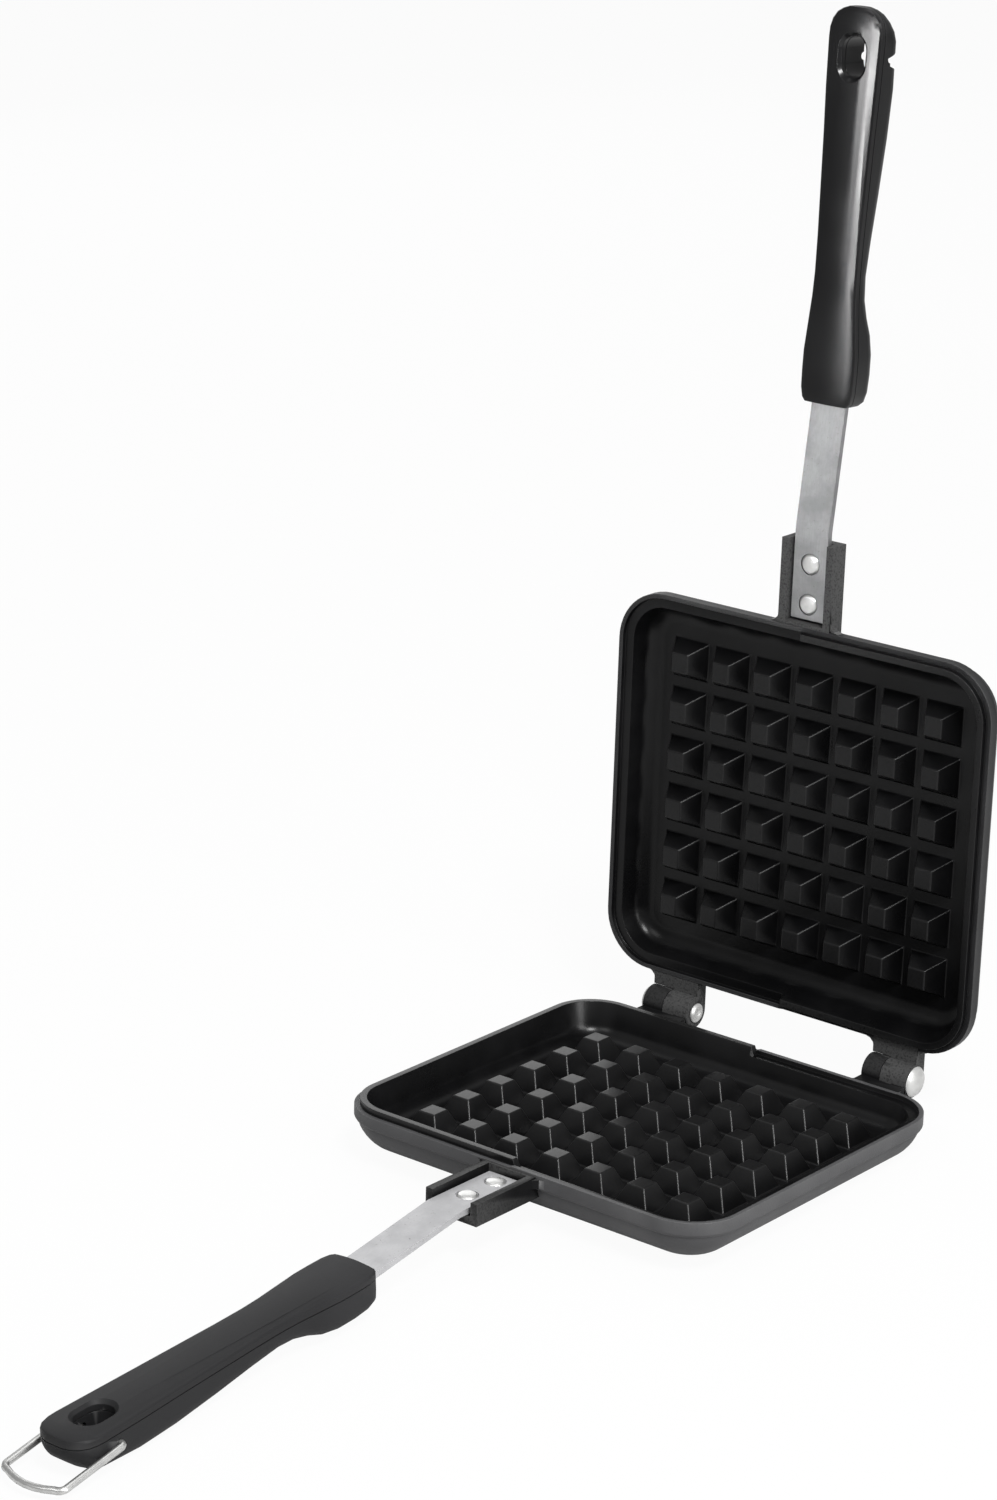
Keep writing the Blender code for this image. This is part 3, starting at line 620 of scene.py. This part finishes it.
def inset_of(point):
    across = pan_width / 2 - abs(point.x)
    along = min(pan_rear - point.y, point.y - pan_front)
    if across < corner_radius and along < corner_radius:
        return corner_radius - math.hypot(corner_radius - across, corner_radius - along)
    return min(across, along)


def on_recess_side(vertex):
    return vertex.co.x > 0.5 * step_half


def on_lip_rings(vertex):
    in_lip = lip_start - ring_slack < inset_of(vertex.co) < lip_end + ring_slack
    return on_recess_side(vertex) and in_lip and vertex.co.z > rim_top - ring_slack


def on_seat_ring(vertex):
    near_seat = abs(inset_of(vertex.co) - seat_inset) < 2 * ring_slack
    return on_recess_side(vertex) and near_seat and vertex.co.z > seat_level - ring_slack


def on_ledge(vertex):
    at_rim = abs(vertex.co.z - rim_top) < level_slack and inset_of(vertex.co) < lip_start + ring_slack
    return vertex.co.x < -0.5 * step_half and at_rim


corner_middle = Vector((pan_width / 2 - corner_radius, pan_rear - corner_radius, 0))
print("inset of a corner's middle, in mm:", round(inset_of(corner_middle) / mm, 2))

# %% [markdown]
# Two cuts close to the middle line give the step between lip and recess its two ends. The
# rings on either side are then flattened to their own level. Two rings of the recess meet
# when they are flattened, so the doubled points are merged.

# %% Lip and recess
recess_level = -1.8 * mm
ledge_level = -0.9 * mm
merge_distance = 0.02 * mm


def flatten(piece, chosen, height):
    pick(piece, "VERT", chosen)
    bpy.ops.transform.resize(value=(1, 1, 0), center_override=(0, 0, height))
    leave()


def shape_rim(piece):
    for place in (-step_half, step_half):
        pick(piece, "FACE", every)
        bpy.ops.mesh.bisect(plane_co=(place, 0, 0), plane_no=(1, 0, 0))
        leave()
    flatten(piece, on_lip_rings, recess_level)
    flatten(piece, on_seat_ring, recess_level)
    pick(piece, "VERT", every)
    bpy.ops.mesh.remove_doubles(threshold=merge_distance)
    leave()
    flatten(piece, on_ledge, ledge_level)
    print("rim faces:", len(piece.data.polygons))


# %% [markdown]
# The waffle pins are all alike: a block with leaning sides, so that the waffle slips off,
# and a small foot that spreads on the floor. One is modelled: the top is drawn in, the
# lower edges are pulled outwards, the edges are rounded, and two arrays repeat it.

# %% Waffle pins
floor_level = -10.4 * mm
pin_columns = 7
pin_rows = 6
pin_pitch = (16.514 * mm, 16.9 * mm)
pin_top = (6.3 * mm, 6.7 * mm)
pin_foot = (13.6 * mm, 13.0 * mm)
pin_hem = (15.2 * mm, 14.6 * mm)
pin_height = 7.1 * mm
pin_edge = 0.45 * mm
pin_edge_segments = 3
pin_edge_degrees = 20
hem_drop = 0.12 * mm
foot_slack = 0.1 * mm


def widen_foot_to(size, middle):
    bpy.ops.transform.resize(value=(size[0] / pin_foot[0], size[1] / pin_foot[1], 1), center_override=middle)


def pins():
    bpy.ops.object.select_all(action="DESELECT")
    first_x = -(pin_columns - 1) / 2 * pin_pitch[0]
    first_y = pan_middle - (pin_rows - 1) / 2 * pin_pitch[1]
    middle = (first_x, first_y, floor_level)
    bpy.ops.mesh.primitive_cube_add(size=1, location=(first_x, first_y, floor_level + pin_height / 2),
                                    scale=(*pin_foot, pin_height))
    piece = bpy.context.object
    bpy.ops.object.transform_apply(location=True, rotation=True, scale=True)
    pick(piece, "FACE", faces_up)
    widen_foot_to(pin_top, middle)
    leave()
    pick(piece, "FACE", faces_down)
    bpy.ops.mesh.delete(type="ONLY_FACE")
    leave()
    pick(piece, "EDGE", lambda first, last: max(first.z, last.z) < floor_level + foot_slack)
    bpy.ops.mesh.extrude_edges_move(TRANSFORM_OT_translate={"value": (0, 0, -hem_drop)})
    widen_foot_to(pin_hem, middle)
    leave()
    finish_with(piece, "BEVEL", width=pin_edge, segments=pin_edge_segments, limit_method="ANGLE",
                angle_limit=math.radians(pin_edge_degrees))
    for axis, count in enumerate((pin_columns, pin_rows)):
        offset = [0.0, 0.0, 0.0]
        offset[axis] = pin_pitch[axis]
        finish_with(piece, "ARRAY", count=count, use_relative_offset=False, use_constant_offset=True,
                    constant_offset_displace=offset)
    print("faces of all pins:", len(piece.data.polygons))
    return piece


# %% [markdown]
# The hinge knuckles with their webs, and the bracket for the strap, are taken from the
# rounded copy of the solid: all its faces inside the pan's outline are deleted, and what
# is left is joined to the tray, whose wall it meets. How far the wall lies inside the
# outline at each height comes from the outside section.

# %% Where the wall stands
wall_slack = 0.03 * mm
wall_section = outside_section()[::-1] + [(0.0, rim_top)]


def wall_at(height):
    for (inset, low), (next_inset, high) in zip(wall_section, wall_section[1:]):
        if low <= height <= high:
            return inset + (next_inset - inset) * (height - low) / (high - low)
    return 0.0


print("wall inset half way up, in mm:", round(wall_at((base_level + rim_top) / 2) / mm, 2))

# %% [markdown]
# Each face of the joined casting is then given one of three finishes. Lugs and brackets
# lie in front of the pan or behind it. Of the rest, the rim's outer band and all that
# faces down is outside, and what is left is the cooking side.

# %% Castings
casting_edge = 0.35 * mm
rim_edge = 0.28 * mm
rim_edge_segments = 2
rim_edge_degrees = 28
rim_width = 1.5 * mm
facing_down = -0.3
lug_margin = 1 * mm
casting_smooth_degrees = 35
inner_slot, outer_slot, rough_slot = range(3)


def casting(side, half, body, inner_finish, outer_finish):
    piece = rounded(f"{side}_pan", f"{side}_casting", body, outer_finish, casting_edge)
    to_half = half.inverted()

    def within(face):
        centre = to_half @ face.center
        return inset_of(centre) > wall_at(centre.z) - wall_slack

    pick(piece, "FACE", within)
    bpy.ops.mesh.delete(type="FACE")
    leave()
    pan = tray()
    shape_rim(pan)
    finish_with(pan, "BEVEL", width=rim_edge, segments=rim_edge_segments, limit_method="ANGLE",
                angle_limit=math.radians(rim_edge_degrees))
    studs = pins()
    for part in (pan, studs):
        part.data.transform(half)
    only(piece)
    pan.select_set(True)
    studs.select_set(True)
    bpy.ops.object.join()
    piece.data.materials.clear()
    for material in (inner_finish, outer_finish, rough_casting):
        piece.data.materials.append(material)
    for face in piece.data.polygons:
        centre = to_half @ face.center
        facing = to_half.to_3x3() @ face.normal
        if not pan_front - lug_margin < centre.y < pan_rear + lug_margin:
            face.material_index = rough_slot
        elif inset_of(centre) < rim_width or facing.z < facing_down:
            face.material_index = outer_slot
        else:
            face.material_index = inner_slot
    soften(piece, casting_smooth_degrees)
    print(piece.name, "faces:", len(piece.data.polygons))


casting("lower", lower_frame, "lower_half", lower_coating, lower_outside_painted_lit)
casting("upper", upper_frame, "lid", upper_coating, upper_outside)

# %% [markdown]
# Each handle is two pressings, a deep outer shell and a thin inner cover, with a seam all
# round. They could be lofted again from sections, but the solids already have those
# sections, so rounded copies are used. The shading runs smoothly across wider angles than
# on the castings, which hides the steps of the loft.

# %% Handles
grip_sharp_degrees = 40
grip_smooth_degrees = 50
grip_edges = (("shell", 0.35 * mm), ("cover", 0.3 * mm))

for side, body, material in (("lower", "lower_half", lower_plastic), ("upper", "lid", upper_plastic)):
    for part, edge in grip_edges:
        rounded(f"{side}_handle_{part}", f"{side}_grip_{part}", body, material,
                edge, grip_sharp_degrees, grip_smooth_degrees)

# %% [markdown]
# Each strap is a flat bar, held in its bracket by two rivets. A sheared edge is only
# slightly rounded, and the rim of a rivet's head less still, so these bevels are narrow.
# The pins through the handles' tangs are hidden in the handles. Their shape is right as
# it is, so the solids stay and only take the steel.

# %% Straps and their rivets
strap_edge = 0.25 * mm
rivet_edge = 0.15 * mm

for side, body, strap_finish, rivet_finish in (
        ("lower", "lower_half", lower_strap_steel, lower_rivet_steel),
        ("upper", "lid", upper_strap_steel, upper_rivet_steel)):
    rounded(f"{side}_strap", f"{side}_steel_strap", body, strap_finish, strap_edge)
    for which in ("inner", "outer"):
        rounded(f"{side}_strap_rivet_{which}", f"{side}_{which}_rivet", body,
                rivet_finish, rivet_edge)
    for which in ("near", "far"):
        pin = bpy.data.objects[f"{side}_tang_pin_{which}"]
        pin.data.materials.clear()
        pin.data.materials.append(rivet_finish)

# %% [markdown]
# The lid turns on two rivets with domed heads. The bail is one bent wire. It could be a
# curve with a round bevel, but the solid already follows the bend, so its copy is merged
# and smoothed all round the wire, with no edge to bevel.

# %% Hinge rivets and bail
wire_smooth_degrees = 60

for which in ("left", "right"):
    rounded(f"{which}_hinge_rivet", f"{which}_hinge_pin", "lower_half",
            hinge_rivet_steel, rivet_edge)
rounded("latch_bail", "wire_bail", "bail", bail_wire, 0, smooth=wire_smooth_degrees)

# %% [markdown]
# The iron stands on a white studio floor that runs out of the picture. The floor is pale
# paper lit by the lamps, mixed with a plain white glow that only the camera sees: the
# background comes out white, the glow lights nothing, and a soft shadow stays.

# %% Floor
floor_size = 12
floor_drop = 0.2 * mm
glow_share = 0.95
white = (1, 1, 1, 1)

bpy.ops.object.select_all(action="DESELECT")
bpy.ops.mesh.primitive_plane_add(size=floor_size, location=(0, 0, -floor_drop))
floor = bpy.context.object
floor.name = "studio_floor"
paper = Finish("floor_paper", (0.9, 0.9, 0.9), 0.9, specular=0.1)
camera_sees = paper.node("ShaderNodeLightPath", output="Is Camera Ray")
fibre = paper.noise(scale=300)
paper.set("Base Color", paper.mixed(fibre, (0.56, 0.56, 0.56), (0.60, 0.60, 0.60)))
lit_paper = Value(paper, paper.shader.outputs[0])
glow = paper.node("ShaderNodeEmission", {}, {"Color": white, "Strength": 1.0})
both = paper.node("ShaderNodeMixShader", {}, {0: camera_sees * glow_share, 1: lit_paper, 2: glow})
paper.put(paper.tree.nodes["Material Output"].inputs["Surface"], both)
floor.data.materials.append(paper.material)
print("floor is", floor_size, "metres wide")

# %% [markdown]
# The world is white to the camera and dim to everything else, so that the background is
# plain and the lamps still shape the object.

# %% World
world_seen = 1.0
world_light = 0.35

world = bpy.data.worlds.new("studio")
world.use_nodes = True
bpy.context.scene.world = world
sky = Nodes(world.node_tree)
background = world.node_tree.nodes["Background"]
to_camera = sky.node("ShaderNodeLightPath", output="Is Camera Ray")
strength = sky.node("ShaderNodeMapRange", {},
                    {"Value": to_camera, "To Min": world_light, "To Max": world_seen})
sky.put(background.inputs["Strength"], strength)
sky.put(background.inputs["Color"], white)
print("world light:", world_light)

# %% [markdown]
# Soft light comes from area lamps, as from studio boxes. Three large ones shape the
# object: in front, on the right, and above and behind. The other three are there for
# reflections, which draw dark glossy forms better than light on them does. The edge box
# is mirrored as thin lines in the near edges of the pins, the far box stands low behind
# on the left and is mirrored in the tops of the pins, and the low box is a narrow beam
# that draws the pale streak on the upper handle.

# %% Lamps
def lamp(name, place, aim, width, height, power, spread=180):
    data = bpy.data.lights.new(name, "AREA")
    data.shape = "RECTANGLE"
    data.size = width
    data.size_y = height
    data.energy = power
    data.spread = math.radians(spread)
    made = bpy.data.objects.new(name, data)
    bpy.context.collection.objects.link(made)
    made.location = place
    made.rotation_mode = "QUATERNION"
    made.rotation_quaternion = (Vector(aim) - Vector(place)).to_track_quat("-Z", "Y")
    print(name, "watts:", power)


lamp("front_box", place=(-0.2, -1.5, 1.5), aim=(0, 0.05, 0.1), width=1.0, height=0.8, power=8)
lamp("right_box", place=(1.5, -0.1, 0.7), aim=(0, 0.1, 0.15), width=0.5, height=1.2, power=16)
lamp("top_box", place=(-0.3, 0.6, 1.6), aim=(0, 0.1, 0.1), width=1.2, height=0.8, power=5)
lamp("edge_box", place=(0.78, -0.50, 1.24), aim=(0, 0.08, 0.05), width=0.36, height=0.36, power=22)
lamp("far_box", place=(-1.25, 1.1, 0.55), aim=(0, 0.08, 0.02), width=1.0, height=0.7, power=3.6)
lamp("low_box", place=(-0.24, -0.68, 0.32), aim=(0, 0.15, 0.30), width=0.10, height=0.20, power=0.09,
     spread=24)

# %% [markdown]
# The Standard view shows a colour about as it is written.

# %% Look settings
scene = bpy.context.scene
scene.view_settings.view_transform = "Standard"
